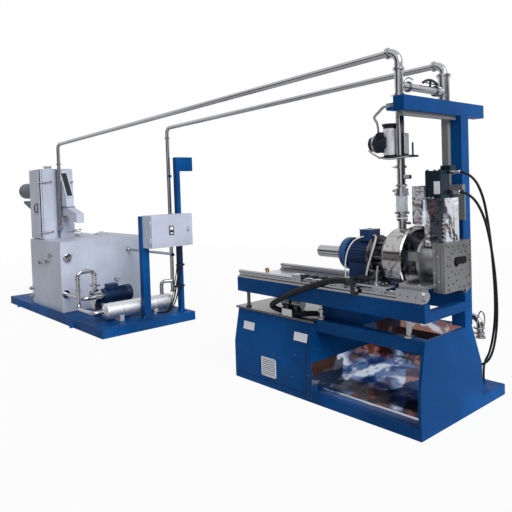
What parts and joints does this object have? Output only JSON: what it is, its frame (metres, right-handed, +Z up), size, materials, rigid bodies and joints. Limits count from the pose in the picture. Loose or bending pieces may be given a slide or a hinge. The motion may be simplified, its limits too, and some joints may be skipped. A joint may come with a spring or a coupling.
{
  "type": "underwater pelletizing line",
  "caption": "Underwater pelletizing line: a die and sliding cutter carriage on a cabinet base, joined by long overhead pipes to a skid with water tank, dryer and pump.",
  "frame": {"origin": "on the floor, at the middle of the line's length and width", "axes": "+X along the line from the water skid to the die end of the pelletizer, +Y from the operator's side to the back, +Z up"},
  "size_m": [6.8058, 1.366, 2.4402],
  "materials": {
    "blue_frame": "semi-gloss paint",
    "polished_steel": "polished stainless steel",
    "machined_steel": "machined and brushed",
    "motor_blue": "semi-gloss paint on castings",
    "dark_metal": "dark painted castings",
    "grey_paint": "satin light grey paint",
    "glass": "clear",
    "black_rubber": "matt",
    "grey_sleeve": "satin",
    "white_sleeve": "satin"
  },
  "bodies": {
    "plant": {"base_cabinet": "blue_frame", "cabinet_lid": "blue_frame", "base_end_plate": "blue_frame", "base_sills": "blue_frame", "base_top_rails": "blue_frame", "rear_foot": "blue_frame", "bed_frame": "blue_frame", "bed_pedestal": "blue_frame", "column": "blue_frame", "column_arm": "blue_frame", "skid_frame": "blue_frame", "skid_deck": "blue_frame", "posts": "blue_frame", "bay_tray": "polished_steel", "bay_back_sheet": "polished_steel", "stack_pipe": "polished_steel", "bypass_valve": "polished_steel", "supply_down": "polished_steel", "slurry_run": "polished_steel", "slurry_drop": "polished_steel", "supply_riser": "polished_steel", "supply_run": "polished_steel", "pump_piping": "polished_steel", "heat_exchanger": "polished_steel", "shaft_rails": "machined_steel", "die_table": "machined_steel", "die_head": "machined_steel", "valve_yoke": "machined_steel", "bed_left_feet": "machined_steel", "bed_right_jack": "machined_steel", "cable_trays": "machined_steel", "bed_cover": "machined_steel", "lid_fittings": "machined_steel", "pump_motor": "motor_blue", "hydraulic_cylinder": "dark_metal", "diverter_drive": "dark_metal", "dryer_motor": "dark_metal", "tank_shell": "grey_paint", "tank_lid": "grey_paint", "dryer_housing": "grey_paint", "control_box": "grey_paint", "sight_glass": "glass", "upper_hose": "black_rubber", "lower_hose": "black_rubber", "bed_conduit": "black_rubber", "drive_conduit": "grey_sleeve"},
    "carriage": {"bearing_blocks": "machined_steel", "carriage_plate": "machined_steel", "motor_body": "motor_blue", "motor_fan_cover": "motor_blue", "brake_cylinder": "polished_steel", "terminal_box": "motor_blue", "lantern": "dark_metal", "cutter_drum": "polished_steel", "cutter_rotor": "machined_steel", "drum_saddle": "dark_metal", "clamp_lever": "polished_steel", "motor_cable": "white_sleeve"},
    "dryer_door": {"dryer_door": "grey_paint"},
    "control_box_door": {"control_box_door": "grey_paint"}
  },
  "joints": [
    {"name": "carriage_slide", "type": "slide", "parent": "plant", "child": "carriage", "axis": [1, 0, 0], "range_m": [-0.3, 0.065]},
    {"name": "dryer_door_hinge", "type": "hinge", "parent": "plant", "child": "dryer_door", "pos_m": [-2.598, -0.53, 1.4], "axis": [0, 0, -1], "range_deg": [0, 90]},
    {"name": "control_box_hinge", "type": "hinge", "parent": "plant", "child": "control_box_door", "pos_m": [-0.38, -0.057, 1.09], "axis": [0, 0, -1], "range_deg": [0, 110]}
  ]
}
